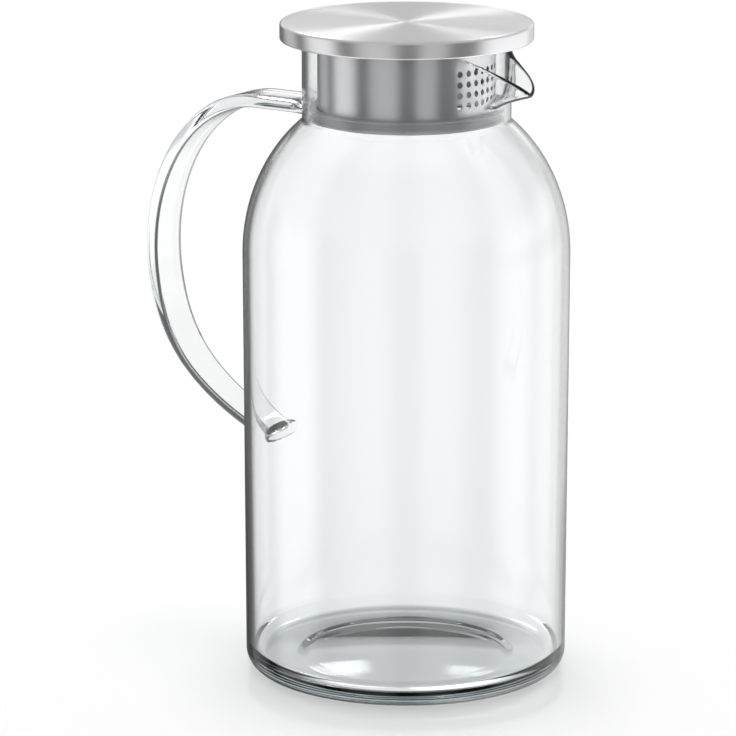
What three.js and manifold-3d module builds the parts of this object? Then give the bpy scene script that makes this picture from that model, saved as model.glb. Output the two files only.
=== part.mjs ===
// Glass carafe with a strap handle, a pouring lip and a lift-off steel strainer lid.
// Millimetres, +Z up. The origin is the centre of the base on the plane it stands on,
// the pouring lip points along +X and the handle along -X.
import * as THREE from "three";
import { mergeVertices } from "three/addons/utils/BufferGeometryUtils.js";
import Module from "manifold-3d";

const wasm = await Module();
wasm.setup();

// Glass body: base, straight wall and shoulder
const bodyDiameter = 125.4;
const footDiameter = 124.2;
const wall = 2.4;
const baseThickness = 5.5;
const heelRadius = 7.2;
const innerHeelRadius = 6;
const standingRingWidth = 13;
const puntSlopeWidth = 4;
const puntDepth = 1;
const shoulderBase = 164;
const shoulderReach = 55.5;
const shoulderRise = 63.5;
const shoulderFillet = 1.5;

// Glass neck and pouring lip
const neckDiameter = 79.6;
const neckHeight = 31.05;
const lipReach = 15.5;
const lipDrop = 16.7;
const lipRootRise = 6.6;
const lipHalfAngle = THREE.MathUtils.degToRad(36);
const lipDropHalfAngle = THREE.MathUtils.degToRad(45);

// Shape numbers of the lip's two curves, which have no unit
const lipReachCurve = { power: 1.37, sharpness: 4.5, softness: 0.15 };
const lipDropCurve = { power: 0.72, sharpness: 1.82, softness: 0.14 };
const lipFlare = 1.5;

// Glass handle: a flat strap welded to the neck and to the wall
const handleReach = 117.6;
const handleTopRise = 3.5;
const handleBendStart = 64.5;
const handleMidDrop = 10;
const handleFootHeight = 82.8;
const handleFootAngle = THREE.MathUtils.degToRad(22.5);
const handleFootPull = 43;
const handleDropPull = 31;
const strapWidth = 17.5;
const strapThickness = 5.3;
const strapLowThickness = 3.5;
const strapThinningShares = [0.6, 0.8];
const strapEdgeRadius = 1.6;
const strapRootFlare = 3;
const strapRootThicken = 1;
const strapFlareLength = 9;
const weldGap = 0.3;

// Lid: drawn steel cap, base plate, perforated sleeve and silicone ring
const lidOverhang = 8.4;
const lidThickness = 6.6;
const lidSheet = 0.8;
const lidEdgeRadius = 1;
const hemWidth = 2.6;
const plateRibWidth = 7;
const plateRibSlope = 2;
const plateRibClearance = 0.8;
const sleeveSheet = 0.6;
const sleeveFlange = 5;
const sleeveLength = 29.9;
const seatGap = 0.3;

// Strainer holes in the sleeve, on the pouring side
const holeDiameter = 2.2;
const holeRowPitch = 4.05;
const holeColumnPitch = 4.25;
const holeRows = 4;
const holeColumns = 7;
const holeFieldDrop = 15.7;

// Silicone ring on the sleeve's lower edge
const ringHeight = 5;
const ringWeb = 1;
const ringLeg = 1.2;
const ringLipLength = 1.7;
const ringLipThickness = 0.9;
const ringLipSweep = 0.5;
const ringLipInset = 0.3;
const ringGap = 0.3;

// Facets of the curved faces
const lipColumns = 24;
const backColumns = 36;
const latheSides = 60;
const strapStations = 40;
const holeSides = 10;
const heelSteps = 4;
const shoulderSteps = 7;
const filletSteps = 2;
const edgeSteps = 2;
const lipSpread = 1.4;
const neckShares = [0, 0.25, 0.5, 0.75, 1];
const rimShares = [0.25, 0.5, 0.75];

// Working values: a cutter's overrun, the merging distance and the steps of the solvers
const overrun = 2;
const mergeLength = 1e-4;
const slopeStep = 1e-3;
const bisections = 50;

// Derived places
const bodyRadius = bodyDiameter / 2;
const footRadius = footDiameter / 2;
const neckRadius = neckDiameter / 2;
const lidRadius = neckRadius + lidOverhang;
const ringReach = neckRadius - wall - ringLipInset;
const ringBody = ringReach - ringLipLength;
const sleeveRadius = ringBody - ringLeg - ringGap;
const sleeveInnerRadius = sleeveRadius - sleeveSheet;

// Materials
const glass = new THREE.MeshStandardMaterial({
  color: 0xeef5f5,
  roughness: 0.03,
  metalness: 0,
  transparent: true,
  opacity: 0.3,
});
const brushedSteel = new THREE.MeshStandardMaterial({
  color: 0xc4c5c7,
  roughness: 0.32,
  metalness: 1,
});
const silicone = new THREE.MeshStandardMaterial({
  color: 0xb9bdc0,
  roughness: 0.55,
  metalness: 0,
});

// A station of a glass profile: a place and the unit normal that points out of the glass.
const station = (r, z, nr, nz) => ({ r, z, nr, nz });

// Stations along an elliptical arc, whose normals point away from its centre times side.
function arcStations(centreR, centreZ, radiusR, radiusZ, from, to, steps, side = 1) {
  const list = [];
  for (let i = 0; i <= steps; i++) {
    const a = from + ((to - from) * i) / steps;
    const normal = new THREE.Vector2(Math.cos(a) / radiusR, Math.sin(a) / radiusZ);
    normal.normalize().multiplyScalar(side);
    const r = centreR + radiusR * Math.cos(a);
    const z = centreZ + radiusZ * Math.sin(a);
    list.push(station(r, z, normal.x, normal.y));
  }
  return list;
}

// The angle on the shoulder's ellipse where a fillet ball that rolls on it also touches the neck.
function shoulderEndAngle() {
  const wanted = neckRadius + shoulderFillet;
  let low = 0;
  let high = Math.PI / 2;
  for (let i = 0; i < bisections; i++) {
    const mid = (low + high) / 2;
    const nr = Math.cos(mid) / shoulderReach;
    const nz = Math.sin(mid) / shoulderRise;
    const r = bodyRadius - shoulderReach * (1 - Math.cos(mid));
    const ball = r + (shoulderFillet * nr) / Math.hypot(nr, nz);
    if (ball > wanted) low = mid;
    else high = mid;
  }
  return low;
}

const shoulderEnd = shoulderEndAngle();
const shoulderCentre = bodyRadius - shoulderReach;
const shoulderStations = arcStations(
  shoulderCentre, shoulderBase, shoulderReach, shoulderRise, 0, shoulderEnd, shoulderSteps);
const lastShoulder = shoulderStations.at(-1);
const neckBase = lastShoulder.z + shoulderFillet * lastShoulder.nz;
const filletStart = Math.PI + Math.atan2(lastShoulder.nz, lastShoulder.nr);
const filletStations = arcStations(
  neckRadius + shoulderFillet, neckBase, shoulderFillet, shoulderFillet,
  filletStart, Math.PI, filletSteps, -1);
const rimHeight = neckBase + neckHeight;
const handleTopHeight = neckBase + handleTopRise;
const handleMidHeight = shoulderBase - handleMidDrop;

// From 1 at the middle of the lip to 0 at its half angle, with a rounded tip.
function bump(angle, halfAngle, curve) {
  const share = Math.min(1, Math.abs(angle) / halfAngle);
  const soft = Math.hypot(share, curve.softness) - curve.softness;
  const whole = Math.hypot(1, curve.softness) - curve.softness;
  return Math.pow(1 - Math.pow(soft / whole, curve.power), curve.sharpness);
}

// Outer face of the neck at a share t of the way from the lip's root to the rim.
function neckPoint(angle, t) {
  const out = lipReach * bump(angle, lipHalfAngle, lipReachCurve);
  const drop = lipDrop * bump(angle, lipDropHalfAngle, lipDropCurve);
  const root = neckBase + lipRootRise;
  const top = rimHeight - wall / 2 - drop;
  const r = neckRadius + out * Math.pow(t, lipFlare);
  return new THREE.Vector3(r * Math.cos(angle), r * Math.sin(angle), root + (top - root) * t);
}

// Unit normal of the neck's outer face, from small steps along it.
function neckNormal(angle, t) {
  const low = Math.max(0, t - slopeStep);
  const high = Math.min(1, t + slopeStep);
  const along = neckPoint(angle + slopeStep, t).sub(neckPoint(angle - slopeStep, t));
  const up = neckPoint(angle, high).sub(neckPoint(angle, low));
  return along.cross(up).normalize();
}

// The neck at share t, moved inwards from its outer face by depth.
const neckInside = (angle, t, depth) =>
  neckPoint(angle, t).addScaledVector(neckNormal(angle, t), -depth);

// The round of the rim: turn is 0 on the outer face and pi on the inner one.
function rimPoint(angle, turn) {
  const normal = neckNormal(angle, 1);
  const up = neckPoint(angle, 1).sub(neckPoint(angle, 1 - slopeStep)).normalize();
  return neckPoint(angle, 1)
    .addScaledVector(normal, (Math.cos(turn) - 1) * (wall / 2))
    .addScaledVector(up, Math.sin(turn) * (wall / 2));
}

// A row of the body is a function from an angle to a point.
const round = (r, z) => (angle) =>
  new THREE.Vector3(r * Math.cos(angle), r * Math.sin(angle), z);
const onFace = (s) => round(s.r, s.z);
const underFace = (s) => round(s.r - wall * s.nr, s.z - wall * s.nz);

// Angles round the body, closer together at the pouring lip.
function bodyAngles() {
  const angles = [];
  for (let i = 0; i < lipColumns; i++) {
    const share = (2 * i) / lipColumns - 1;
    angles.push(lipDropHalfAngle * Math.sign(share) * Math.pow(Math.abs(share), lipSpread));
  }
  for (let i = 0; i < backColumns; i++)
    angles.push(lipDropHalfAngle + (2 * (Math.PI - lipDropHalfAngle) * i) / backColumns);
  return angles;
}

// A closed solid from rows of points that run from one pole on the axis to the other.
function solidFromRows(firstPole, rows, lastPole, angles) {
  const positions = [firstPole, ...rows.flatMap((row) => angles.map(row)), lastPole];
  const n = angles.length;
  const index = [];
  const at = (row, column) => 1 + row * n + (column % n);
  for (let c = 0; c < n; c++) {
    index.push(0, at(0, c + 1), at(0, c));
    for (let r = 0; r + 1 < rows.length; r++) {
      index.push(at(r, c), at(r, c + 1), at(r + 1, c + 1));
      index.push(at(r, c), at(r + 1, c + 1), at(r + 1, c));
    }
    index.push(positions.length - 1, at(rows.length - 1, c), at(rows.length - 1, c + 1));
  }
  const geometry = new THREE.BufferGeometry().setFromPoints(positions);
  geometry.setIndex(index);
  geometry.computeVertexNormals();
  return geometry;
}

// Rows of the outer face below the lip's root, from the standing ring up.
function outerRows() {
  const ringOuter = footRadius - heelRadius;
  const ringInner = ringOuter - standingRingWidth;
  const heel = arcStations(
    ringOuter, heelRadius, heelRadius, heelRadius, -Math.PI / 2, 0, heelSteps);
  return [
    round(ringInner - puntSlopeWidth, puntDepth),
    round(ringInner, 0),
    ...heel.map(onFace),
    ...shoulderStations.map(onFace),
    ...filletStations.map(onFace),
  ];
}

// Rows of the inner face below the lip's root, from the neck down to the floor.
function innerRows() {
  const floorEdge = footRadius - wall - innerHeelRadius;
  const heel = arcStations(
    floorEdge, baseThickness + innerHeelRadius, innerHeelRadius, innerHeelRadius,
    0, -Math.PI / 2, heelSteps);
  return [
    ...filletStations.map(underFace).reverse(),
    ...shoulderStations.map(underFace).reverse(),
    ...heel.map(onFace),
  ];
}

// Blown body: base, wall, shoulder, neck and pouring lip in one wall of glass.
function glassBody() {
  const rows = [
    ...outerRows(),
    ...neckShares.map((t) => (angle) => neckPoint(angle, t)),
    ...rimShares.map((share) => (angle) => rimPoint(angle, share * Math.PI)),
    ...neckShares.map((t) => (angle) => neckInside(angle, t, wall)).reverse(),
    ...innerRows(),
  ];
  const under = new THREE.Vector3(0, 0, puntDepth);
  const floor = new THREE.Vector3(0, 0, baseThickness);
  return solidFromRows(under, rows, floor, bodyAngles());
}

// A solid of revolution about Z from a closed outline of [r, z] pairs, anticlockwise.
function turned(outline, sides = latheSides) {
  const points = outline.map(([r, z]) => new THREE.Vector2(r, z));
  const first = points[0];
  const last = points.at(-1);
  if (first.x > 0 || last.x > 0) points.push(first.clone());
  return new THREE.LatheGeometry(points, sides).rotateX(Math.PI / 2);
}

// A three.js geometry as a solid for booleans, and back.
function toSolid(geometry) {
  const bare = geometry.clone();
  bare.deleteAttribute("normal");
  bare.deleteAttribute("uv");
  const merged = mergeVertices(bare, mergeLength);
  return new wasm.Manifold(new wasm.Mesh({
    numProp: 3,
    vertProperties: new Float32Array(merged.attributes.position.array),
    triVerts: new Uint32Array(merged.index.array),
  }));
}

function toGeometry(solid) {
  const mesh = solid.getMesh();
  const geometry = new THREE.BufferGeometry();
  geometry.setAttribute("position", new THREE.BufferAttribute(mesh.vertProperties, 3));
  geometry.setIndex(new THREE.BufferAttribute(mesh.triVerts, 1));
  geometry.computeVertexNormals();
  return geometry;
}

// The strap's outer face in the handle's plane: distance from the axis, then height.
function handlePath() {
  const path = new THREE.CurvePath();
  const start = new THREE.Vector2(neckRadius - overrun, handleTopHeight);
  const bend = new THREE.Vector2(handleBendStart, handleTopHeight);
  const middle = new THREE.Vector2(handleReach, handleMidHeight);
  const footRun = new THREE.Vector2(Math.cos(handleFootAngle), Math.sin(handleFootAngle));
  const foot = new THREE.Vector2(bodyRadius, handleFootHeight);
  const into = foot.clone().addScaledVector(footRun, -overrun);
  path.add(new THREE.LineCurve(start, bend));
  path.add(new THREE.EllipseCurve(
    handleBendStart, handleMidHeight, handleReach - handleBendStart,
    handleTopHeight - handleMidHeight, Math.PI / 2, 0, true));
  path.add(new THREE.CubicBezierCurve(
    middle,
    new THREE.Vector2(handleReach, handleMidHeight - handleDropPull),
    foot.clone().addScaledVector(footRun, handleFootPull),
    foot));
  path.add(new THREE.LineCurve(foot, into));
  return path;
}

// Outline of the strap's section: [across its width, into its thickness from the outer face].
function strapSection(width, thickness) {
  const points = [];
  const corners = [[1, 0], [1, 1], [-1, 1], [-1, 0]];
  corners.forEach(([side, deep], i) => {
    const across = side * (width / 2 - strapEdgeRadius);
    const into = deep ? thickness - strapEdgeRadius : strapEdgeRadius;
    for (let k = 0; k <= edgeSteps; k++) {
      const turn = (i - 1 + k / edgeSteps) * (Math.PI / 2);
      points.push([
        across + strapEdgeRadius * Math.cos(turn), into + strapEdgeRadius * Math.sin(turn)]);
    }
  });
  return points;
}

// Smooth step from 0 to 1.
const ease = (x) => {
  const t = Math.min(1, Math.max(0, x));
  return t * t * (3 - 2 * t);
};

// Width and thickness of the strap at a share of its length: thinner below, fuller at the welds.
function strapSize(share, length) {
  const nearEnd = Math.min(share, 1 - share) * length;
  const root = 1 - ease((nearEnd - overrun) / strapFlareLength);
  const [thinStart, thinEnd] = strapThinningShares;
  const thinning = (strapThickness - strapLowThickness)
    * ease((share - thinStart) / (thinEnd - thinStart));
  return [strapWidth + strapRootFlare * root, strapThickness - thinning + strapRootThicken * root];
}

// Strap handle, trimmed to lie a weld's gap off the body.
function glassHandle() {
  const path = handlePath();
  const length = path.getLength();
  const sections = [];
  for (let i = 0; i <= strapStations; i++) {
    const share = i / strapStations;
    const point = path.getPointAt(share);
    const tangent = path.getTangentAt(share);
    const inwards = new THREE.Vector2(tangent.y, -tangent.x);
    const outline = strapSection(...strapSize(share, length));
    sections.push(outline.map(([across, into]) => {
      const p = point.clone().addScaledVector(inwards, into);
      return new THREE.Vector3(-p.x, across, p.y);
    }));
  }
  return toGeometry(toSolid(loft(sections)).subtract(weldCutter()));
}

// A closed solid through sections with equal numbers of points.
function loft(sections) {
  const n = sections[0].length;
  const centre = (s) => s.reduce((sum, p) => sum.add(p), new THREE.Vector3()).divideScalar(n);
  const positions = [...sections.flat(), centre(sections[0]), centre(sections.at(-1))];
  const first = positions.length - 2;
  const last = positions.length - 1;
  const top = (sections.length - 1) * n;
  const index = [];
  for (let k = 0; k < n; k++) {
    const next = (k + 1) % n;
    for (let s = 0; s + 1 < sections.length; s++) {
      const a = s * n;
      index.push(a + k, a + next, a + n + next, a + k, a + n + next, a + n + k);
    }
    index.push(first, next, k, last, top + k, top + next);
  }
  const geometry = new THREE.BufferGeometry().setFromPoints(positions);
  geometry.setIndex(index);
  return geometry;
}

// The body's outer face grown by the weld's gap, as a solid without the pouring lip.
function weldCutter() {
  const grown = (s) => [s.r + weldGap * s.nr, s.z + weldGap * s.nz];
  return toSolid(turned([
    [0, 0],
    [footRadius + weldGap, 0],
    [footRadius + weldGap, heelRadius],
    ...shoulderStations.map(grown),
    ...filletStations.map(grown),
    [neckRadius + weldGap, rimHeight],
    [0, rimHeight],
  ]));
}

// Heights of the lid's parts, from the rim that carries it upwards
const plateBottom = rimHeight + seatGap;
const capBottom = plateBottom - seatGap - lidSheet;
const capTop = capBottom + lidThickness;
const plateTop = plateBottom + lidSheet;
const capInnerRadius = lidRadius - lidSheet;
const capCeiling = capTop - lidSheet;

// Drawn cap: top disc, skirt and a hem turned in under the base plate.
function lidCap() {
  const hemEdge = lidRadius - hemWidth;
  const topRound = arcStations(
    lidRadius - lidEdgeRadius, capTop - lidEdgeRadius, lidEdgeRadius, lidEdgeRadius,
    0, Math.PI / 2, edgeSteps);
  return turned([
    [0, capCeiling],
    [capInnerRadius, capCeiling],
    [capInnerRadius, capBottom + lidSheet],
    [hemEdge, capBottom + lidSheet],
    [hemEdge, capBottom],
    [lidRadius - lidSheet, capBottom],
    [lidRadius, capBottom + lidSheet],
    ...topRound.map((s) => [s.r, s.z]),
    [0, capTop],
  ]);
}

// Base plate: a flat disc with a pressed rib that stiffens the cap from below.
function lidBasePlate() {
  const plateRadius = capInnerRadius - seatGap;
  const ribTop = capCeiling - seatGap;
  const ribOuter = sleeveInnerRadius - sleeveFlange - plateRibClearance - plateRibSlope;
  const ribInner = ribOuter - plateRibWidth;
  return turned([
    [0, plateBottom],
    [ribInner - plateRibSlope, plateBottom],
    [ribInner, ribTop - lidSheet],
    [ribOuter, ribTop - lidSheet],
    [ribOuter + plateRibSlope, plateBottom],
    [plateRadius, plateBottom],
    [plateRadius, plateTop],
    [ribOuter + plateRibSlope + lidSheet, plateTop],
    [ribOuter + lidSheet, ribTop],
    [ribInner - lidSheet, ribTop],
    [ribInner - plateRibSlope - lidSheet, plateTop],
    [0, plateTop],
  ]);
}

const sleeveTop = plateBottom - seatGap;
const sleeveBottom = sleeveTop - sleeveLength;

// Strainer sleeve: a steel tube with a flange turned in at the top and a field of holes.
function strainerSleeve() {
  const tube = toSolid(turned([
    [sleeveInnerRadius, sleeveBottom],
    [sleeveRadius, sleeveBottom],
    [sleeveRadius, sleeveTop],
    [sleeveInnerRadius - sleeveFlange, sleeveTop],
    [sleeveInnerRadius - sleeveFlange, sleeveTop - sleeveSheet],
    [sleeveInnerRadius, sleeveTop - sleeveSheet],
  ]));
  return toGeometry(strainerHoles().reduce((left, drill) => left.subtract(drill), tube));
}

// One drill for each hole, on a grid that is centred on the pouring side.
function strainerHoles() {
  const drills = [];
  const fieldHeight = sleeveTop - holeFieldDrop;
  for (let row = 0; row < holeRows; row++)
    for (let column = 0; column < holeColumns; column++) {
      const height = fieldHeight + (row - (holeRows - 1) / 2) * holeRowPitch;
      const angle = ((column - (holeColumns - 1) / 2) * holeColumnPitch) / sleeveRadius;
      const drill = new THREE.CylinderGeometry(
        holeDiameter / 2, holeDiameter / 2, sleeveSheet + 2 * overrun, holeSides)
        .rotateZ(-Math.PI / 2)
        .translate(sleeveRadius - sleeveSheet / 2, 0, height)
        .rotateZ(angle);
      drills.push(toSolid(drill));
    }
  return drills;
}

// Silicone ring: a channel that grips the sleeve's edge, with two lips that reach the neck.
function sealRing() {
  const bottom = sleeveBottom - ringGap - ringWeb;
  const top = bottom + ringHeight;
  const innerLeg = sleeveInnerRadius - ringGap;
  const outerLeg = sleeveRadius + ringGap;
  const lip = (z) => [
    [ringBody, z],
    [ringReach, z + ringLipSweep],
    [ringReach, z + ringLipSweep + ringLipThickness],
    [ringBody, z + ringLipThickness],
  ];
  return turned([
    [innerLeg - ringLeg, bottom],
    ...lip(bottom),
    ...lip(top - ringLipSweep - ringLipThickness),
    [ringBody, top],
    [outerLeg, top],
    [outerLeg, bottom + ringWeb],
    [innerLeg, bottom + ringWeb],
    [innerLeg, top],
    [innerLeg - ringLeg, top],
  ]);
}

function piece(name, geometry, material) {
  const mesh = new THREE.Mesh(geometry, material);
  mesh.name = name;
  return mesh;
}

// The glass stands still; the silicone ring and the steel lid lift off it together.
const vessel = new THREE.Group();
vessel.add(piece("glass_body", glassBody(), glass));
vessel.add(piece("glass_handle", glassHandle(), glass));

const lid = new THREE.Group();
lid.add(piece("lid_cap", lidCap(), brushedSteel));
lid.add(piece("lid_base_plate", lidBasePlate(), brushedSteel));
lid.add(piece("strainer_sleeve", strainerSleeve(), brushedSteel));
lid.add(piece("seal_ring", sealRing(), silicone));

const carafe = new THREE.Group();
carafe.add(vessel, lid);

export default carafe;
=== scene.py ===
# %% [markdown]
# # A glass carafe with a steel strainer lid
#
# This lesson dresses a measured model of a carafe. The measured model, called the frame, says where every piece is
# and how it moves. Here each piece is modelled again with fine, round surfaces and gets its finish, and then a
# small photographic studio is built round it. The pieces, from the table up, are the blown glass body with its
# strap handle, the silicone ring, the perforated steel sleeve, the base plate of the lid and the turned steel cap.
#
# Everything is in metres, +Z is up, the pouring lip points along +X and the handle along -X.

# %% Load the frame
import math

import bmesh
import bpy
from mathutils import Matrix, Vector


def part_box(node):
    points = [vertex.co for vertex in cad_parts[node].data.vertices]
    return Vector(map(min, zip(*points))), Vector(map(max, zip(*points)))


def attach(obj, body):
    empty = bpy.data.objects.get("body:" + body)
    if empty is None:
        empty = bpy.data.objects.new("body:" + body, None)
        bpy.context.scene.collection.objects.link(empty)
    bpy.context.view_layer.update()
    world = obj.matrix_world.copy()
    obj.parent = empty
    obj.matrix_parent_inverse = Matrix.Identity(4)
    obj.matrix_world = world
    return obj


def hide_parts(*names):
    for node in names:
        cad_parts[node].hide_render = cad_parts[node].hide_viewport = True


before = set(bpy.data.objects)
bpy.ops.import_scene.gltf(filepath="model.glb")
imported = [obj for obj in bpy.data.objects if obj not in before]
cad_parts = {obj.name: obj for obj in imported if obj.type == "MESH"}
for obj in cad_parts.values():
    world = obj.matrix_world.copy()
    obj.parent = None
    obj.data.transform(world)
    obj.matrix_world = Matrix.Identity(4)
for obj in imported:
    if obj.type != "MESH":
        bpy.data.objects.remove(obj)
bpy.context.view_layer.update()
bpy.ops.object.select_all(action="DESELECT")

# %% [markdown]
# ## Driving dimensions
#
# Most sizes are read from the frame, so that this script follows it if it is changed. What a box can't tell, such
# as a wall's thickness or the start of a curve, is named here once, in millimetres, and turned into metres. Two
# tiny lengths are named too: a hair, which is nothing to the eye, and a distance below which two points are one.

# %% Sizes read from the frame
MM = 0.001
HAIR = MM / 100
MERGE_DISTANCE = MM / 1000
body_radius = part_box("glass_body")[1].y
rim_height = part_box("glass_body")[1].z
cap_low, cap_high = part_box("lid_cap")
plate_low, plate_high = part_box("lid_base_plate")
sleeve_low, sleeve_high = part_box("strainer_sleeve")
ring_low, ring_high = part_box("seal_ring")
handle_low, handle_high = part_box("glass_handle")
print("body radius", round(body_radius / MM, 2), "rim height", round(rim_height / MM, 2), "mm")

# %% Sizes of the glass body
foot_radius = 62.1 * MM
wall = 2.4 * MM
base_thickness = 5.5 * MM
heel_radius = 7.2 * MM
inner_heel_radius = 6 * MM
standing_ring_width = 13 * MM
punt_slope_width = 4 * MM
punt_depth = 1 * MM
punt_toe_height = 0.06 * MM
shoulder_base = 164 * MM
shoulder_reach = 55.5 * MM
shoulder_rise = 63.5 * MM
shoulder_fillet = 1.5 * MM
neck_radius = 39.8 * MM

# %% Sizes of the pouring lip
lip_root_rise = 6.6 * MM
lip_reach = 15.5 * MM
lip_drop = 16.7 * MM
lip_thinning = 0.35
lip_flare_power = 1.5
lip_half_angle = math.radians(36)
lip_drop_half_angle = math.radians(45)

# %% Sizes of the handle
handle_reach = -handle_low.x
handle_top = handle_high.z
handle_bend_start = 64.5 * MM
handle_mid_height = shoulder_base - 10 * MM
handle_foot_height = 82.8 * MM
handle_foot_angle = math.radians(22.5)
handle_foot_pull = 43 * MM
handle_drop_pull = 31 * MM
strap_width = 17.5 * MM
strap_thickness = 5.3 * MM
strap_low_thickness = 3.5 * MM
strap_edge_radius = 1.6 * MM
strap_thinning_start = 0.6
strap_thinning_run = 0.2
strap_root_flare = 3 * MM
strap_root_thicken = 1 * MM
strap_flare_length = 9 * MM
weld_roundness = 0.8
weld_fillet = 2.2 * MM
weld_fillet_length = 3.2 * MM
weld_depth = wall / 2

# %% Sizes of the lid
sheet = 0.8 * MM
hem_width = 2.6 * MM
cap_edge_radius = 1 * MM
rib_outer = 25.5 * MM
rib_inner = 18.5 * MM
rib_slope = 2 * MM
plate_corner_radius = 0.8 * MM
sleeve_sheet = 0.6 * MM
sleeve_flange = 5 * MM
sleeve_corner_radius = 0.25 * MM
hole_radius = 1.25 * MM
hole_row_pitch = 4.05 * MM
hole_column_pitch = 4.25 * MM
hole_rows = 4
hole_columns = 7
hole_field_drop = 15.7 * MM
drill_length = 4 * MM

# %% Sizes of the silicone ring
ring_web = 1 * MM
ring_leg = 1.2 * MM
ring_gap = 0.3 * MM
ring_lip_length = 1.7 * MM
ring_lip_thickness = 0.9 * MM
ring_lip_sweep = 0.5 * MM
ring_corner_radius = 0.35 * MM

# %% [markdown]
# ## Tools for turned pieces
#
# All but the handle is round, so most of it is made as on a lathe. An outline is drawn by extruding one vertex
# from corner to corner, and then spun round the Z axis. The spin leaves double vertices at its seam and at the
# axis. They are merged first, and only then are the normals turned outwards, because that needs a closed skin.

# %% Arcs and outlines
def arc(centre_r, centre_z, radius_r, radius_z, start, end, steps):
    """Points [r, z] along an elliptical arc, its ends included. Angles are in degrees, 0 away from the axis."""
    turns = [math.radians(start + (end - start) * i / steps) for i in range(steps + 1)]
    return [(centre_r + radius_r * math.cos(a), centre_z + radius_z * math.sin(a)) for a in turns]


CORNER_STEPS = 4


def rounded(outline, radius):
    """A closed outline whose corners are rounded, each by at most a third of its shorter side."""
    points = []
    for i, corner in enumerate(outline):
        here = Vector(corner)
        if here.x < HAIR:
            points.append(tuple(here))
            continue
        to_last = Vector(outline[i - 1]) - here
        to_next = Vector(outline[(i + 1) % len(outline)]) - here
        cut = min(radius, to_last.length / 3, to_next.length / 3)
        first, last = here + to_last.normalized() * cut, here + to_next.normalized() * cut
        for k in range(CORNER_STEPS + 1):
            t = k / CORNER_STEPS
            points.append(tuple(first * (1 - t) ** 2 + here * (2 * t * (1 - t)) + last * t * t))
    return points


# %% Spin an outline into a piece
ROUND_STEPS = 360


def turned(name, outline):
    """A closed piece that is turned from an outline of [r, z] points."""
    bpy.ops.object.select_all(action="DESELECT")
    bpy.ops.mesh.primitive_plane_add(size=MM)
    piece = bpy.context.object
    piece.name = piece.data.name = name
    bpy.ops.object.mode_set(mode="EDIT")
    bpy.ops.mesh.select_all(action="SELECT")
    bpy.ops.mesh.merge(type="CENTER")
    corners = [Vector((r, 0, z)) for r, z in outline]
    on_axis = outline[0][0] == 0 and outline[-1][0] == 0
    if not on_axis:
        corners.append(corners[0])
    bpy.ops.transform.translate(value=corners[0])
    for here, there in zip(corners, corners[1:]):
        bpy.ops.mesh.extrude_vertices_move(TRANSFORM_OT_translate={"value": there - here})
    bpy.ops.mesh.select_all(action="SELECT")
    bpy.ops.mesh.remove_doubles(threshold=MERGE_DISTANCE)
    bpy.ops.mesh.spin(steps=ROUND_STEPS, angle=2 * math.pi, center=(0, 0, 0), axis=(0, 0, 1))
    bpy.ops.mesh.select_all(action="SELECT")
    bpy.ops.mesh.remove_doubles(threshold=MERGE_DISTANCE)
    bpy.ops.mesh.normals_make_consistent(inside=False)
    bpy.ops.object.mode_set(mode="OBJECT")
    return piece


# %% [markdown]
# ## Tools for finishing a piece
#
# Each finished piece is made to look smooth and is measured: it should have no open edge and a positive volume.
# Two solids are joined, or one is cut with another, by a Boolean modifier that is applied at once. Where two skins
# nearly touch, it leaves edges of less than a hundredth of a millimetre, and those are taken out afterwards.

# %% Choose, smooth, measure, combine and clean
def choose(piece):
    """Selects one object alone and makes it the active one."""
    bpy.ops.object.select_all(action="DESELECT")
    piece.select_set(True)
    bpy.context.view_layer.objects.active = piece


def smooth(piece, degrees=35):
    """Round faces look round, and edges sharper than the angle stay sharp."""
    choose(piece)
    bpy.ops.object.shade_smooth_by_angle(angle=math.radians(degrees))


def report(piece):
    """Prints a piece's size, its open edges, which should be none, and its volume, negative if it's inside out."""
    mesh = bmesh.new()
    mesh.from_mesh(piece.data)
    loose = sum(1 for edge in mesh.edges if not edge.is_manifold)
    triangles = sum(len(face.verts) - 2 for face in mesh.faces)
    millilitres = mesh.calc_volume(signed=True) / 1e-6
    mesh.free()
    print(piece.name, [round(v / MM, 2) for v in piece.dimensions], "mm,", triangles, "triangles,", loose,
          "open edges,", round(millilitres, 2), "ml")


def combine(piece, other, operation):
    """Joins another solid to a piece, or cuts it out, and throws the other away."""
    modifier = piece.modifiers.new(operation.title(), "BOOLEAN")
    modifier.operation = operation
    modifier.solver = "MANIFOLD"
    modifier.object = other
    choose(piece)
    bpy.ops.object.modifier_apply(modifier=modifier.name)
    bpy.data.objects.remove(other)


def clean(piece):
    """Takes out the edges and slivers with hardly any length that cutting and joining leave behind."""
    choose(piece)
    bpy.ops.object.mode_set(mode="EDIT")
    bpy.ops.mesh.select_all(action="SELECT")
    bpy.ops.mesh.quads_convert_to_tris()
    bpy.ops.mesh.dissolve_degenerate(threshold=HAIR)
    bpy.ops.mesh.select_all(action="SELECT")
    bpy.ops.mesh.quads_convert_to_tris()
    bpy.ops.object.mode_set(mode="OBJECT")


# %% [markdown]
# ## The glass body
#
# The body is blown into a mould, so its wall is even, its heel and shoulder are round and no seam shows. Outside,
# the outline goes from the middle of the shallow recess under the base, over the standing ring and the heel, up
# the slightly tapered side and over the dome of the shoulder to the neck. Inside, it follows the same way back,
# one wall further in, to a thick floor. It could be a single skin with a Solidify modifier, but the floor is
# thicker than the wall, so both sides are drawn.
#
# The dome is a quarter of an ellipse that runs into the straight neck through a small hollow fillet. A ball of the
# fillet's size that rolls up the dome touches the neck at one place only, and halving an interval finds it.

# %% Where the shoulder meets the neck
HALVINGS = 50


def shoulder_normal(turn):
    """Unit normal of the shoulder's ellipse at an angle on it."""
    normal = Vector((math.cos(turn) / shoulder_reach, math.sin(turn) / shoulder_rise))
    return normal.normalized()


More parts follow.
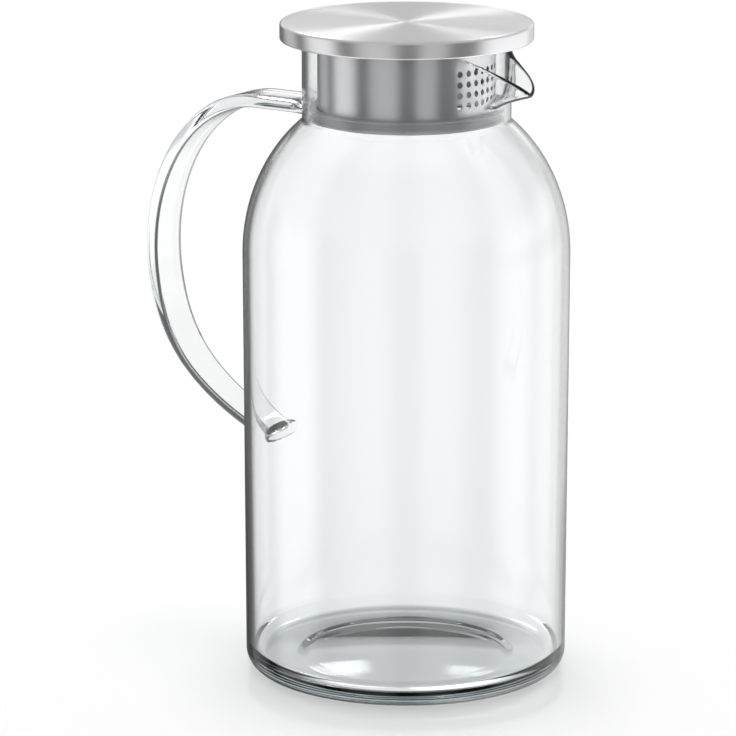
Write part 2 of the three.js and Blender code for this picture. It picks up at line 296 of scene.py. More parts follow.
def shoulder_point(turn, inwards=0.0):
    """Point [r, z] of the shoulder, moved into the glass by a distance."""
    outside = Vector((body_radius - shoulder_reach * (1 - math.cos(turn)),
                      shoulder_base + shoulder_rise * math.sin(turn)))
    return outside - shoulder_normal(turn) * inwards


low, high = 0.0, math.pi / 2
for _ in range(HALVINGS):
    shoulder_end = (low + high) / 2
    ball = shoulder_point(shoulder_end, -shoulder_fillet).x
    low, high = (shoulder_end, high) if ball > neck_radius + shoulder_fillet else (low, shoulder_end)
neck_base = shoulder_point(shoulder_end, -shoulder_fillet).y
root_height = neck_base + lip_root_rise
print("the neck starts at", round(neck_base / MM, 2), "mm")

# %% The curves of the side
SHOULDER_STEPS, FILLET_STEPS = 40, 6


def fillet(inwards):
    """The small hollow between shoulder and neck, moved into the glass by a distance."""
    end = shoulder_normal(shoulder_end)
    start = 180 + math.degrees(math.atan2(end.y, end.x))
    size = shoulder_fillet + inwards
    return arc(neck_radius + shoulder_fillet, neck_base, size, size, start, 180, FILLET_STEPS)


def side(inwards):
    """The shoulder and its fillet from the straight side up, moved into the glass by a distance."""
    turns = [shoulder_end * i / SHOULDER_STEPS for i in range(SHOULDER_STEPS)]
    return [tuple(shoulder_point(t, inwards)) for t in turns] + fillet(inwards)


# %% Draw the body's outline and turn it
HEEL_STEPS, SIDE_STEPS, NECK_STEPS, RIM_STEPS = 14, 30, 24, 12
stand_outer = foot_radius - heel_radius
stand_inner = stand_outer - standing_ring_width
rim_middle = rim_height - wall / 2
climb = [root_height + (rim_middle - root_height) * i / NECK_STEPS for i in range(NECK_STEPS)]
underside = [(0.0, punt_depth), (stand_inner - punt_slope_width - punt_depth, punt_depth),
             (stand_inner - punt_slope_width / 2, punt_depth / 2), (stand_inner, punt_toe_height),
             (stand_inner + punt_depth, 0.0)]
outside = arc(stand_outer, heel_radius, heel_radius, heel_radius, -90, 0, HEEL_STEPS)
outside += [(foot_radius + (body_radius - foot_radius) * i / SIDE_STEPS,
             heel_radius + (shoulder_base - heel_radius) * i / SIDE_STEPS) for i in range(1, SIDE_STEPS)]
outside += side(0.0) + [(neck_radius, z) for z in climb]
rim = arc(neck_radius - wall / 2, rim_middle, wall / 2, wall / 2, 0, 180, RIM_STEPS)
inside = [(neck_radius - wall, z) for z in reversed(climb)] + side(wall)[::-1]
inside += arc(foot_radius - wall - inner_heel_radius, base_thickness + inner_heel_radius,
              inner_heel_radius, inner_heel_radius, 0, -90, HEEL_STEPS)
inside += [(0.0, base_thickness)]
glass = turned("carafe_glass", underside + outside + rim + inside)
report(glass)

# %% [markdown]
# ## The pouring lip
#
# The lip is pulled out of the soft rim with a tool: the rim goes outwards and down in the middle of the lip, and
# the wall under it follows, less and less, down to the lip's root. Proportional editing makes such a shape by
# hand, but its reach and its drop need different widths here. So one formula gives the neck's outer face at each
# angle and share of the way up, and each vertex keeps its depth in the wall along the normal of that face. Glass
# that is drawn out gets thinner, so this depth shrinks by up to a third towards the tip.

# %% A formula for the neck with its lip
def swell(angle, half_angle, power, sharpness, softness):
    """1 in the middle of the lip, 0 at its half angle and beyond, with a rounded tip."""
    share = min(1.0, abs(angle) / half_angle)
    soft = math.hypot(share, softness) - softness
    whole = math.hypot(1, softness) - softness
    return (1 - (soft / whole) ** power) ** sharpness


def pulled_out(angle):
    """How far the rim is pulled out at an angle, as a share of the lip's reach."""
    return swell(angle, lip_half_angle, power=1.37, sharpness=4.5, softness=0.15)


def pulled_down(angle):
    """How far the rim is pulled down at an angle, as a share of the lip's drop."""
    return swell(angle, lip_drop_half_angle, power=0.72, sharpness=1.82, softness=0.14)


def neck_face(angle, share):
    """The neck's outer face at a share of the way from the lip's root to the rim."""
    r = neck_radius + lip_reach * pulled_out(angle) * share ** lip_flare_power
    z = root_height + (rim_middle - lip_drop * pulled_down(angle) - root_height) * share
    return Vector((r * math.cos(angle), r * math.sin(angle), z))


def neck_directions(angle, share):
    """The unit normal of the neck's outer face, and the direction up along it."""
    step = 0.001
    low, high = max(0.0, share - step), min(1.0, share + step)
    up = (neck_face(angle, high) - neck_face(angle, low)).normalized()
    along = neck_face(angle + step, share) - neck_face(angle - step, share)
    return along.cross(up).normalized(), up


# %% Pull the lip out of the neck
moved = 0
for vertex in glass.data.vertices:
    x, y, z = vertex.co
    angle = math.atan2(y, x)
    if z < root_height + HAIR or abs(angle) > lip_drop_half_angle:
        continue
    share = min(1.0, (z - root_height) / (rim_middle - root_height))
    normal, up = neck_directions(angle, share)
    drawn_out = lip_thinning * pulled_out(angle) ** 0.5 * share
    depth = (neck_radius - math.hypot(x, y)) * (1 - drawn_out)
    over = max(0.0, z - rim_middle) * (1 - drawn_out)
    vertex.co = neck_face(angle, share) - normal * depth + up * over
    moved += 1
reach = max(vertex.co.x for vertex in glass.data.vertices if vertex.co.z > root_height)
print("the lip moved", moved, "vertices and reaches", round(reach / MM, 2), "mm")

# %% [markdown]
# ## The handle
#
# The handle is a flat strap of glass, drawn out and bent while it is soft: level from the neck, round in an even
# bow, and down to the side. It is a little fuller where it was pressed on, and thinner in its lower third. A
# Curve modifier would bend a straight bar, but it can't thin it on one side only. So a straight bar is made with
# rounded edges and many cuts, and each of its vertices is laid along the path at its own depth.

# %% The handle's path
PATH_STEPS = 400


def cubic(a, b, c, d, t):
    """A point of a cubic curve through a and d."""
    s = 1 - t
    return a * s ** 3 + b * (3 * s * s * t) + c * (3 * s * t * t) + d * t ** 3


start = Vector((neck_radius - wall, handle_top))
bend = Vector((handle_bend_start, handle_top))
middle = Vector((handle_reach, handle_mid_height))
foot = Vector((body_radius, handle_foot_height))
foot_run = Vector((math.cos(handle_foot_angle), math.sin(handle_foot_angle)))
path = [start + (bend - start) * i / PATH_STEPS for i in range(PATH_STEPS)]
path += [Vector(p) for p in arc(bend.x, middle.y, middle.x - bend.x, handle_top - middle.y, 90, 0, PATH_STEPS)]
path += [cubic(middle, middle - Vector((0, handle_drop_pull)), foot + foot_run * handle_foot_pull, foot,
               i / PATH_STEPS) for i in range(1, PATH_STEPS + 1)]
path += [foot - foot_run * wall * i / PATH_STEPS for i in range(1, PATH_STEPS + 1)]
travel = [0.0]
for here, there in zip(path, path[1:]):
    travel.append(travel[-1] + (there - here).length)
handle_length = travel[-1]
print("the handle's path is", round(handle_length / MM, 1), "mm long")

# %% Sizes along the strap
def clamped(x):
    """A number, kept between 0 and 1."""
    return min(1.0, max(0.0, x))


def ease(x):
    """A smooth step from 0 to 1."""
    t = clamped(x)
    return t * t * (3 - 2 * t)


def from_glass(along):
    """Distance along the strap from the nearer face of the body."""
    return min(along, handle_length - along) - wall


def nearness(along):
    """1 where the strap meets the glass, and 0 where its fuller ends are over."""
    return 1 - ease(from_glass(along) / strap_flare_length)


def strap_scale(along):
    """How much wider and thicker than its middle the strap is at a distance along its path."""
    root = nearness(along)
    thinned = ease((along / handle_length - strap_thinning_start) / strap_thinning_run)
    thinning = (strap_thickness - strap_low_thickness) * thinned
    width = strap_width + strap_root_flare * root
    thickness = strap_thickness - thinning + strap_root_thicken * root
    return width / strap_width, thickness / strap_thickness


# %% [markdown]
# Where the strap was pressed on the soft wall, its section is nearly oval, and a small fillet of melted glass runs
# out round it. So near its ends, the corners of the section are pulled towards an oval, and the whole section
# spreads in the last millimetres like the foot of a trumpet.

# %% Lay the bar along the path
NO_LENGTH = 1e-12


def place_on_path(along):
    """A point of the path at a distance along it, and the direction that the path has there."""
    low, high = 0, len(travel) - 1
    while high - low > 1:
        mid = (low + high) // 2
        low, high = (mid, high) if travel[mid] <= along else (low, mid)
    share = (along - travel[low]) / max(travel[high] - travel[low], NO_LENGTH)
    before, after = path[max(0, low - 2)], path[min(len(path) - 1, high + 2)]
    return path[low].lerp(path[high], clamped(share)), (after - before).normalized()


def on_path(along, across, into):
    """The place of a point of the straight bar once the bar is bent on the path."""
    point, run = place_on_path(along)
    wide, thick = strap_scale(along)
    half_thick, half_wide = strap_thickness / 2, strap_width / 2
    turn = math.atan2(across / half_wide, (into - half_thick) / half_thick)
    oval = nearness(along) * weld_roundness
    fillet_share = clamped(1 - from_glass(along) / weld_fillet_length)
    spread = weld_fillet * (1 - math.sqrt(1 - fillet_share ** 2))
    into = into + ((half_thick * (1 + math.cos(turn))) - into) * oval
    across = across + (half_wide * math.sin(turn) - across) * oval
    place = point + Vector((run.y, -run.x)) * (into * thick + spread * math.cos(turn))
    return Vector((-place.x, across * wide + spread * math.sin(turn), place.y))


# %% [markdown]
# The bar starts as a plane of the strap's section with bevelled corners, and is extruded to the path's length. Its
# long edges are cut into short ones, or it couldn't follow the bow. One subdivision makes at most 100 cuts, so the
# bar is cut in two goes. Its two flats are cut lengthways too, because wide thin faces would show in reflections.

# %% Cut the edges that run one way
def cut_edges(piece, way, length, cuts):
    """Cuts each edge that is longer than a length in one direction, the same number of times."""
    bpy.ops.object.mode_set(mode="EDIT")
    bpy.ops.mesh.select_mode(type="EDGE")
    bpy.ops.mesh.select_all(action="DESELECT")
    bpy.ops.object.mode_set(mode="OBJECT")
    for edge in piece.data.edges:
        a, b = (piece.data.vertices[k].co for k in edge.vertices)
        edge.select = abs((a - b).dot(way)) > length
    bpy.ops.object.mode_set(mode="EDIT")
    bpy.ops.mesh.subdivide(number_cuts=cuts)
    bpy.ops.mesh.select_mode(type="VERT")
    bpy.ops.object.mode_set(mode="OBJECT")


# %% Make the straight bar, cut it and bend it
STRAP_EDGE_STEPS = 6
FLAT_CUTS = 7
LENGTH_CUTS = (79, 2)
bpy.ops.object.select_all(action="DESELECT")
bpy.ops.mesh.primitive_plane_add(size=1)
handle = bpy.context.object
handle.name = handle.data.name = "handle"
bpy.ops.object.mode_set(mode="EDIT")
bpy.ops.mesh.select_all(action="SELECT")
bpy.ops.transform.resize(value=(strap_thickness, strap_width, 1))
bpy.ops.mesh.bevel(offset=strap_edge_radius, offset_type="OFFSET", segments=STRAP_EDGE_STEPS, affect="VERTICES")
bpy.ops.object.mode_set(mode="OBJECT")
cut_edges(handle, Vector((0, 1, 0)), strap_width / 2, FLAT_CUTS)
bpy.ops.object.mode_set(mode="EDIT")
bpy.ops.mesh.select_all(action="SELECT")
bpy.ops.mesh.extrude_region_move(TRANSFORM_OT_translate={"value": (0, 0, handle_length)})
bpy.ops.mesh.select_all(action="SELECT")
bpy.ops.mesh.normals_make_consistent(inside=False)
bpy.ops.object.mode_set(mode="OBJECT")
for cuts in LENGTH_CUTS:
    cut_edges(handle, Vector((0, 0, 1)), MM, cuts)
for vertex in handle.data.vertices:
    into, across, along = vertex.co
    vertex.co = on_path(along, across, into + strap_thickness / 2)
bpy.ops.object.mode_set(mode="EDIT")
bpy.ops.mesh.select_all(action="SELECT")
bpy.ops.mesh.normals_make_consistent(inside=False)
bpy.ops.object.mode_set(mode="OBJECT")
report(handle)

# %% [markdown]
# ## The welds
#
# Both ends of the strap are melted into the body, and no joint shows in the real glass. Left as two overlapping
# pieces, each would bend the light inside the other. So the ends are cut off half-way into the wall, with a plug
# of the body's own shape, and what is left is joined to the body as one piece of glass.

# %% Weld the handle to the body
plug = [(0.0, 0.0)] + [(r - weld_depth, z) for r, z in outside + [(neck_radius, rim_height)]] + [(0.0, rim_height)]
combine(handle, turned("plug", plug), "DIFFERENCE")
combine(glass, handle, "UNION")
clean(glass)
smooth(glass, degrees=50)
report(glass)
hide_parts("glass_body", "glass_handle")
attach(glass, "glass")

# %% [markdown]
# ## The lid
#
# The cap is a steel disc, drawn to a skirt, with a hem turned in under it that holds the base plate. The plate
# carries the sleeve, a tube rolled from thin sheet with a flange at its top. Outlines for turning show each
# sheet's two sides and its rounded edges. Only the holes aren't round the axis: one drill is made and copied.

# %% Turn the cap
HEM_STEPS, CAP_EDGE_STEPS, CAP_RINGS = 5, 6, 8
cap_radius = cap_high.x
cap_bottom, cap_top = cap_low.z, cap_high.z
skirt_inside = cap_radius - sheet
hem_edge = cap_radius - hem_width
ceiling = cap_top - sheet
cap_outline = [(0.0, ceiling), (skirt_inside - cap_edge_radius / 2, ceiling),
               (skirt_inside, ceiling - cap_edge_radius / 2), (skirt_inside, cap_bottom + sheet),
               (hem_edge, cap_bottom + sheet), (hem_edge, cap_bottom)]
cap_outline += arc(skirt_inside, cap_bottom + sheet, sheet, sheet, -90, 0, HEM_STEPS)
cap_outline += arc(cap_radius - cap_edge_radius, cap_top - cap_edge_radius, cap_edge_radius, cap_edge_radius,
                   0, 90, CAP_EDGE_STEPS)
cap_outline += [(cap_radius * k / CAP_RINGS, cap_top) for k in range(CAP_RINGS - 1, 0, -1)] + [(0.0, cap_top)]
cap = turned("steel_cap", cap_outline)
smooth(cap)
report(cap)
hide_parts("lid_cap")
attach(cap, "lid")

# %% Turn the base plate
plate_radius = plate_high.x
plate_bottom, rib_top = plate_low.z, plate_high.z
plate_top = plate_bottom + sheet
plate_outline = rounded([
    (0.0, plate_bottom), (rib_inner - rib_slope, plate_bottom), (rib_inner, rib_top - sheet),
    (rib_outer, rib_top - sheet), (rib_outer + rib_slope, plate_bottom), (plate_radius, plate_bottom),
    (plate_radius, plate_top), (rib_outer + rib_slope + sheet, plate_top), (rib_outer + sheet, rib_top),
    (rib_inner - sheet, rib_top), (rib_inner - rib_slope - sheet, plate_top), (0.0, plate_top),
], plate_corner_radius)
plate = turned("steel_base_plate", plate_outline)
smooth(plate)
report(plate)
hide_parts("lid_base_plate")
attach(plate, "lid")

# %% Turn the sleeve
sleeve_radius = sleeve_high.y
bore = sleeve_radius - sleeve_sheet
sleeve_bottom, sleeve_top = sleeve_low.z, sleeve_high.z
sleeve_outline = rounded([
    (bore, sleeve_bottom), (sleeve_radius, sleeve_bottom), (sleeve_radius, sleeve_top),
    (bore - sleeve_flange, sleeve_top), (bore - sleeve_flange, sleeve_top - sleeve_sheet),
    (bore, sleeve_top - sleeve_sheet),
], sleeve_corner_radius)
sleeve = turned("steel_sleeve", sleeve_outline)
report(sleeve)

# %% Drill the holes
DRILL_SIDES = 24
bpy.ops.object.select_all(action="DESELECT")
bpy.ops.mesh.primitive_cylinder_add(vertices=DRILL_SIDES, radius=hole_radius, depth=drill_length,
                                    location=(sleeve_radius, 0, sleeve_top - hole_field_drop),
                                    rotation=(0, math.pi / 2, 0))
drill = bpy.context.object
drill.name = "drill"
bpy.ops.object.transform_apply(location=True, rotation=True, scale=True)
for row in range(hole_rows):
    for column in range(hole_columns):
        copy = drill.copy()
        copy.data = drill.data.copy()
        bpy.context.scene.collection.objects.link(copy)
        copy.location.z = (row - (hole_rows - 1) / 2) * hole_row_pitch
        copy.rotation_euler.z = (column - (hole_columns - 1) / 2) * hole_column_pitch / sleeve_radius
        copy.select_set(True)
drill.select_set(False)
bpy.context.view_layer.objects.active = copy
bpy.ops.object.join()
drills = bpy.context.object
bpy.ops.object.transform_apply(location=True, rotation=True, scale=True)
combine(sleeve, drills, "DIFFERENCE")
bpy.data.objects.remove(drill)
smooth(sleeve)
report(sleeve)
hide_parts("strainer_sleeve")
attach(sleeve, "lid")

# %% [markdown]
# ## The silicone ring
#
# A soft ring grips the sleeve's lower edge in a channel, and two thin lips on its outside press against the
# glass. Its outline is drawn once, and all its corners are rounded, because moulded silicone has no sharp edge.

# %% Turn the ring
ring_bottom, ring_top = ring_low.z, ring_high.z
ring_reach = ring_high.y
ring_body = ring_reach - ring_lip_length
upper_lip = ring_top - ring_lip_sweep - ring_lip_thickness
channel_outer, channel_inner, channel_floor = sleeve_radius + ring_gap, bore - ring_gap, ring_bottom + ring_web


def ring_lip(z):
    """Outline of one lip, which sweeps a little upwards."""
    return [(ring_body, z), (ring_reach, z + ring_lip_sweep), (ring_reach, z + ring_lip_sweep + ring_lip_thickness),
            (ring_body, z + ring_lip_thickness)]


ring_outline = rounded(
    [(channel_inner - ring_leg, ring_bottom)] + ring_lip(ring_bottom) + ring_lip(upper_lip)
    + [(ring_body, ring_top), (channel_outer, ring_top), (channel_outer, channel_floor),
       (channel_inner, channel_floor), (channel_inner, ring_top), (channel_inner - ring_leg, ring_top)],
    ring_corner_radius)
seal = turned("silicone_ring", ring_outline)
smooth(seal, degrees=50)
report(seal)
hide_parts("seal_ring")
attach(seal, "seal")

# %% [markdown]
# ## Tools for finishes
#
# A finish is a small graph of nodes. Sums in it are written as Python expressions: a Value wraps one socket, and
# each operator on it adds the Math node it stands for. All other nodes come from one method, which takes the
# node's type, its settings and what goes into its sockets.

# %% Values that add their own Math nodes
class Value:
    """One output socket. Arithmetic on it adds Math nodes to its graph."""

    def __init__(self, graph, socket):
        self.graph = graph
        self.socket = socket

    def math(self, operation, *others):
        """The result of a Math node, with this value as its first."""
        node = self.graph.node("ShaderNodeMath", {"operation": operation}, dict(enumerate((self, *others))))
        return Value(self.graph, node.outputs[0])

    def __add__(self, other):
        return self.math("ADD", other)

    __radd__ = __add__

    def __mul__(self, other):
        return self.math("MULTIPLY", other)

    __rmul__ = __mul__

    def __sub__(self, other):
        return self.math("SUBTRACT", other)

    def __rsub__(self, other):
        return (self * -1) + other

    def __truediv__(self, other):
        return self.math("DIVIDE", other)

    def __rtruediv__(self, other):
        return self.math("POWER", -1) * other

    def step(self, start, end):
        """0 up to start, 1 from end on, and a smooth step between."""
        node = self.graph.node("ShaderNodeMapRange", {"interpolation_type": "SMOOTHSTEP"}, {
            "Value": self, "From Min": start, "From Max": end, "To Min": 0.0, "To Max": 1.0})
        return Value(self.graph, node.outputs["Result"])


# %% A graph and the method that adds its nodes
COLOUR_A, COLOUR_B, COLOUR_RESULT = 6, 7, 2


class Graph:
    """The nodes of a material or of the world."""

    def __init__(self, owner):
        owner.use_nodes = True
        self.tree = owner.node_tree
        self.tree.nodes.clear()

    def node(self, kind, settings=None, inputs=None):
        """Adds a node. Inputs are keyed by the socket's name or number, and are numbers, tuples or outputs."""
        node = self.tree.nodes.new(kind)
        for key, value in (settings or {}).items():
            setattr(node, key, value)
        for key, value in (inputs or {}).items():
            if isinstance(value, Value):
                value = value.socket
            if isinstance(value, bpy.types.NodeSocket):
                self.tree.links.new(value, node.inputs[key])
            else:
                node.inputs[key].default_value = value
        return node

    def value(self, node, output):
        """An output of a node, ready for arithmetic."""
        return Value(self, node.outputs[output])

    def coordinates(self, kind):
        """The x, y and z of one kind of texture coordinate."""
        axes = self.node("ShaderNodeSeparateXYZ", None, {0: self.node("ShaderNodeTexCoord").outputs[kind]})
        return [self.value(axes, k) for k in range(3)]


def dress(piece, finish):
    """Gives a piece one finish all over, in place of any slots that joining and cutting left on it."""
    piece.data.materials.clear()
    piece.data.materials.append(finish)
    piece.data.polygons.foreach_set("material_index", [0] * len(piece.data.polygons))


# %% [markdown]
# ## Glass
#
# The glass is clear borosilicate with a very faint cool tint. Real blown glass is never perfectly even: a slow
# waviness bends what is seen through it, so a weak, broad bump is added. Thick parts and edges drink up a little
# more light than the thin wall, which the absorbing volume does by itself. Light that only casts the shadow goes
# straight through, a little dimmed, or every lamp would leave a hard black shadow under a clear jug.

# %% Make the glass
glass_finish = bpy.data.materials.new("clear_blown_glass")
graph = Graph(glass_finish)
place = graph.node("ShaderNodeTexCoord").outputs["Object"]
stretched = graph.node("ShaderNodeMapping", None, {"Vector": place, "Scale": (1.0, 1.0, 0.35)}).outputs["Vector"]
waves = graph.node("ShaderNodeTexNoise", None, {"Vector": stretched, "Scale": 34.0, "Detail": 1.0})
bump = graph.node("ShaderNodeBump", None, {"Strength": 0.12, "Distance": 0.6 * MM,
                                           "Height": waves.outputs["Fac"]})
clear = graph.node("ShaderNodeBsdfPrincipled", None, {
    "Base Color": (0.985, 0.995, 0.993, 1.0), "Roughness": 0.0, "IOR": 1.47, "Transmission Weight": 1.0,
    "Normal": bump.outputs["Normal"]})
straight = graph.node("ShaderNodeBsdfTransparent", None, {"Color": (0.87, 0.88, 0.88, 1.0)})
rays = graph.node("ShaderNodeLightPath")
body_glass = graph.node("ShaderNodeMixShader", None, {
    0: rays.outputs["Is Shadow Ray"], 1: clear.outputs["BSDF"], 2: straight.outputs["BSDF"]})
drink_up = graph.node("ShaderNodeVolumeAbsorption", None, {"Color": (0.70, 0.75, 0.76, 1.0), "Density": 30.0})
graph.node("ShaderNodeOutputMaterial", None, {"Surface": body_glass.outputs[0], "Volume": drink_up.outputs[0]})
dress(glass, glass_finish)
print("glass:", len(graph.tree.nodes), "nodes")

# %% [markdown]
# ## Turned and brushed steel
#
# Cap and sleeve are finished on a lathe with an abrasive pad, which leaves fine grooves round the axis. Such
# grooves spread a reflection across themselves, so the flat top shows bright wedges that meet in the middle and
# the round sides show upright bands. An anisotropic reflection does that. It runs round the axis by itself,
# and a quarter turn lays it across the grooves. Rings of noise vary how rough and how light the steel is. The
# inside of the sleeve was never brushed, so what lies nearer to the axis than its outer face is duller. Its
# colour there is also painted darker as shade, so that the inside of the sleeve and its holes look dark.

# %% Make the steel
ANGLE_STRETCH = 0.4
GROOVE_SHADE = 0.94
ROUGHNESS_SPREAD = 0.10
DULL_ROUGHNESS = 0.2
# Painted shade: the dark colour given to the steel inside the sleeve, so that its inside and its holes look dark.
PAINTED_SHADE_COLOUR = (0.30, 0.30, 0.31, 1.0)
DULL_AND_SHADE_EDGE = 0.1 * MM


def turned_steel(name, colour, roughness, groove_scale, dull_and_shade_within=0.0):
    """Steel with grooves round the Z axis, rougher and with painted shade where it's nearer to the axis than a
    radius.
    """
    finish = bpy.data.materials.new(name)
    graph = Graph(finish)
    x, y, z = graph.coordinates("Object")
    r = (x * x + y * y).math("SQRT")
    angle = y.math("ARCTAN2", x)
    spot = graph.node("ShaderNodeCombineXYZ", None, {
        0: r * groove_scale, 1: z * groove_scale, 2: angle * ANGLE_STRETCH})
    fine = graph.node("ShaderNodeTexNoise", None, {
        "Vector": spot.outputs[0], "Scale": 1.0, "Detail": 3.0, "Roughness": 0.7})
    rings = graph.value(fine, "Fac")
    shade = graph.node("ShaderNodeMix", {"data_type": "RGBA"}, {
        "Factor": rings, COLOUR_A: tuple(c * GROOVE_SHADE for c in colour) + (1.0,), COLOUR_B: colour + (1.0,)})
    bump = graph.node("ShaderNodeBump", None, {"Strength": 0.05, "Distance": 0.02 * MM, "Height": rings})
    # Mask of painted shade and a duller finish, where the steel lies nearer to the axis than the radius.
    dull_and_shaded = 1 - r.step(dull_and_shade_within - DULL_AND_SHADE_EDGE, dull_and_shade_within)
    surface = graph.node("ShaderNodeMix", {"data_type": "RGBA"}, {
        "Factor": dull_and_shaded, COLOUR_A: shade.outputs[COLOUR_RESULT], COLOUR_B: PAINTED_SHADE_COLOUR})
    metal = graph.node("ShaderNodeBsdfPrincipled", None, {
        "Base Color": surface.outputs[COLOUR_RESULT], "Metallic": 1.0,
        "Roughness": rings * ROUGHNESS_SPREAD + (roughness - ROUGHNESS_SPREAD / 2) + dull_and_shaded * DULL_ROUGHNESS,
        "Anisotropic": 0.85, "Anisotropic Rotation": 0.25, "Normal": bump.outputs["Normal"]})
    graph.node("ShaderNodeOutputMaterial", None, {"Surface": metal.outputs["BSDF"]})
    print(name, len(graph.tree.nodes), "nodes")
    return finish


# %% Dress the three steel pieces
steel_roughness = 0.30
turned_grooves, brushed_grooves = 2600, 3400
# Inside the sleeve, from just outside its bore inwards, the steel is duller and painted darker as shade.
dull_and_shade_radius = bore + 0.2 * MM
dress(cap, turned_steel("turned_steel", (0.80, 0.80, 0.81), steel_roughness, turned_grooves))
dress(plate, turned_steel("brushed_steel", (0.72, 0.72, 0.73), steel_roughness, brushed_grooves))
dress(sleeve, turned_steel("brushed_sleeve_steel_painted_shade_inside", (0.74, 0.74, 0.75), steel_roughness, brushed_grooves,
                           dull_and_shade_radius))

# %% [markdown]
# ## Silicone
#
# The ring is moulded in milky grey silicone: satin, and a little light goes through it. A part of the light is
# sent through as in frosted glass, and a fine noise gives the moulded skin its dull grain.

# %% Make the silicone
silicone_finish = bpy.data.materials.new("grey_silicone")
graph = Graph(silicone_finish)
place = graph.node("ShaderNodeTexCoord").outputs["Object"]
grain = graph.value(graph.node("ShaderNodeTexNoise", None, {"Vector": place, "Scale": 900.0, "Detail": 2.0}), "Fac")
bump = graph.node("ShaderNodeBump", None, {"Strength": 0.1, "Distance": 0.05 * MM, "Height": grain})
skin = graph.node("ShaderNodeBsdfPrincipled", None, {
    "Base Color": (0.81, 0.83, 0.84, 1.0), "Roughness": grain * 0.1 + 0.33, "IOR": 1.41,
    "Transmission Weight": 0.45, "Normal": bump.outputs["Normal"]})
graph.node("ShaderNodeOutputMaterial", None, {"Surface": skin.outputs["BSDF"]})
dress(seal, silicone_finish)
print("silicone:", len(graph.tree.nodes), "nodes")

# %% [markdown]
# ## The camera
#
# A long lens from well back keeps the jug's sides nearly straight. With the handle on the left and the lip on the
# right, the camera is swung 33 degrees from the front towards the lip. It looks down a little, and the lid shows
# its top.

# %% Place the camera
camera_angle = math.radians(33.3)
camera_distance, camera_height = 1.7117, 0.5363
camera_pitch = math.radians(13.73)
camera_yaw = math.radians(0.491)
FOCAL_PIXELS, FRAME_PIXELS = 4577.0, 736.0
lens = bpy.data.cameras.new("camera")
lens.sensor_width = 36.0
lens.lens = FOCAL_PIXELS / FRAME_PIXELS * lens.sensor_width
camera = bpy.data.objects.new("camera", lens)
bpy.context.scene.collection.objects.link(camera)
camera.location = (camera_distance * math.sin(camera_angle), -camera_distance * math.cos(camera_angle),
                   camera_height)
camera.rotation_euler = (math.pi / 2 - camera_pitch, 0, camera_angle + camera_yaw)
bpy.context.scene.camera = camera
print("camera at", [round(v, 3) for v in camera.location], "lens", round(lens.lens, 1), "mm")

# %% [markdown]
# ## The studio
#
# Clear glass and bright steel have hardly a colour of their own: they show the room. A glass jug is photographed
# in front of a white sweep, with darker flags at its sides, so that its edges turn grey and stand out. Steel wants
# tall bright panels with dark gaps between them. So the surroundings have two faces. To the eye, straight or
# through clear glass, they are white. In reflections they are a studio of panels, given by their compass angle
# from the camera and by how high they stand.

# %% What the eye sees, and what reflections see
def seen_straight(graph):
    """1 for what the camera sees straight or through clear glass, and 0 for reflections and for lighting."""
    rays = graph.node("ShaderNodeLightPath")
    through = graph.value(rays, "Is Transmission Ray")
    bounced = graph.value(rays, "Glossy Depth") + graph.value(rays, "Diffuse Depth")
    clean = bounced.math("LESS_THAN", 0.5)
    return graph.value(rays, "Is Camera Ray").math("MAXIMUM", through * clean)


camera_compass = camera_angle - math.pi / 2


def panel(x, y, degrees, half_width, softness):
    """1 inside a tall panel at a compass angle from the camera, seen from the object, and 0 beside it."""
    towards = camera_compass + math.radians(degrees)
    facing = x * math.cos(towards) + y * math.sin(towards)
    outer = math.cos(math.radians(half_width + softness))
    inner = math.cos(math.radians(max(0.0, half_width - softness)))
    return facing.step(outer, inner)


def height_band(z, low, high, softness):
    """1 between two heights of the surroundings, which run from -1 below to 1 overhead, and 0 outside them."""
    return z.step(low - softness, low + softness) * (1 - z.step(high - softness, high + softness))


# %% [markdown]
# Upright steel reflects what stands round it at table height: two panels on the left, two dim ones in front and
# two on the right, the larger with a dimmer band across it. The flat top of the lid mirrors a pale horizon behind
# the jug, which gives it an even grey. Its grooves also catch two small bright windows higher up, and each window
# makes one pair of wedges. The table itself sends some light up.

# %% Light the surroundings
world = bpy.data.worlds.new("studio")
bpy.context.scene.world = world
graph = Graph(world)
x, y, z = graph.coordinates("Generated")
level = (x * x + y * y).math("SQRT").math("MAXIMUM", 0.001)
x, y = x / level, y / level
wall_light, ceiling_light = 0.15, 0.60
left_panels = panel(x, y, -132, 8, 10) * 0.46 + panel(x, y, -86, 13, 12) * 0.92
front_panels = panel(x, y, -29, 14, 12) * 0.50 + panel(x, y, 25, 9, 10) * 0.42
banded = 1.14 - height_band(z, -0.13, 0.0, 0.04) * 0.30
right_panels = panel(x, y, 105, 30, 14) * banded + panel(x, y, 152, 14, 12) * 0.60
left_window = panel(x, y, -166, 6, 2) * height_band(z, 0.48, 0.62, 0.03) * 8.0
right_window = panel(x, y, 166, 5, 2) * height_band(z, 0.53, 0.63, 0.03) * 7.0
horizon = panel(x, y, 180, 30, 10) * height_band(z, 0.10, 0.29, 0.04) * 0.45
table_light = (1 - z.step(-0.88, -0.60)) * 0.75
upper = z.step(0.06, 0.30)
around = left_panels + front_panels + right_panels + wall_light
overhead = left_window + right_window + ceiling_light
studio = around * (1 - upper) + overhead * upper + horizon + table_light
eye = seen_straight(graph)
shown = studio * (1 - eye) + eye
graph.node("ShaderNodeOutputWorld", None, {
    "Surface": graph.node("ShaderNodeBackground", None, {"Color": shown, "Strength": 1.0}).outputs[0]})
print("studio:", len(graph.tree.nodes), "nodes")

# %% [markdown]
# ## The floor and its lamp
#
# The jug stands on white paper with a faint polish, which shows a weak mirror image of its foot. A glow lifts the
# paper to white without more light on the jug. Like the white behind the jug, the floor is there for the eye only:
# reflections look through it to the table's light.
#
# One lamp from above gives the soft shadow under the jug. A sun with a wide disc lights the floor evenly, where an
# area lamp would leave a bright spot. It is hidden in reflections and in what is seen through glass, or its disc
# would show in the shoulder.

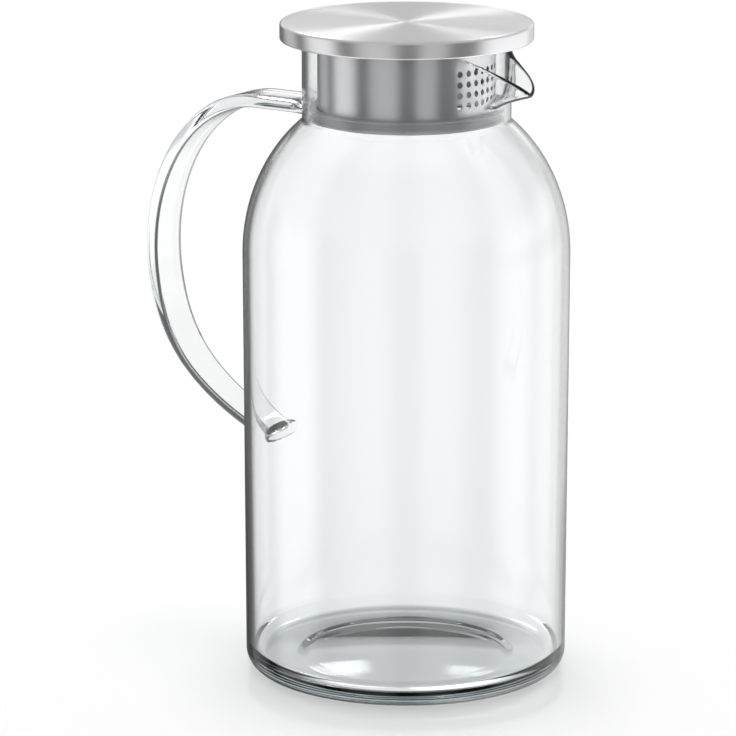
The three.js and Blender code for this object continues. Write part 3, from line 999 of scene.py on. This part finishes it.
# %% The floor
floor_radius, floor_gap = 4.0, 0.05 * MM
bpy.ops.object.select_all(action="DESELECT")
bpy.ops.mesh.primitive_circle_add(vertices=96, radius=floor_radius, fill_type="NGON",
                                  location=(0, 0, -floor_gap))
floor = bpy.context.object
floor.name = "floor"
bpy.ops.object.transform_apply(location=True, rotation=True, scale=True)
floor_finish = bpy.data.materials.new("white_sweep")
graph = Graph(floor_finish)
lit = graph.node("ShaderNodeBsdfDiffuse", None, {"Color": (0.55, 0.55, 0.55, 1.0)})
glow = graph.node("ShaderNodeEmission", None, {"Color": (1.0, 1.0, 1.0, 1.0), "Strength": 0.27})
polish = graph.node("ShaderNodeBsdfGlossy", None, {"Color": (1.0, 1.0, 1.0, 1.0), "Roughness": 0.10})
paper = graph.node("ShaderNodeAddShader", None, {0: lit.outputs[0], 1: glow.outputs[0]})
sheen = graph.node("ShaderNodeMixShader", None, {0: 0.12, 1: paper.outputs[0], 2: polish.outputs[0]})
nothing = graph.node("ShaderNodeBsdfTransparent")
seen = graph.node("ShaderNodeMixShader", None, {
    0: seen_straight(graph), 1: nothing.outputs[0], 2: sheen.outputs[0]})
graph.node("ShaderNodeOutputMaterial", None, {"Surface": seen.outputs[0]})
dress(floor, floor_finish)
floor_finish.cycles.emission_sampling = "NONE"
print("floor:", len(graph.tree.nodes), "nodes")

# %% A soft lamp from above
lamp_data = bpy.data.lights.new("overhead_light", "SUN")
lamp_data.angle = math.radians(24)
lamp_data.energy = 2.3
lamp = bpy.data.objects.new("overhead_light", lamp_data)
lamp.visible_glossy = lamp.visible_transmission = False
bpy.context.scene.collection.objects.link(lamp)
lamp.location = (-0.10, 0.16, 1.5)
lit_spot = Vector((0, 0, 0.1))
lamp.rotation_euler = (lit_spot - lamp.location).to_track_quat("-Z", "Y").to_euler()
print("lamp of", round(lamp_data.energy, 2), "W/m2, disc", round(math.degrees(lamp_data.angle)), "degrees wide")

# %% [markdown]
# ## Colours as they are
#
# Colours are shown as they are, without a film look.

# %% Show colours as they are
bpy.context.scene.view_settings.view_transform = "Standard"
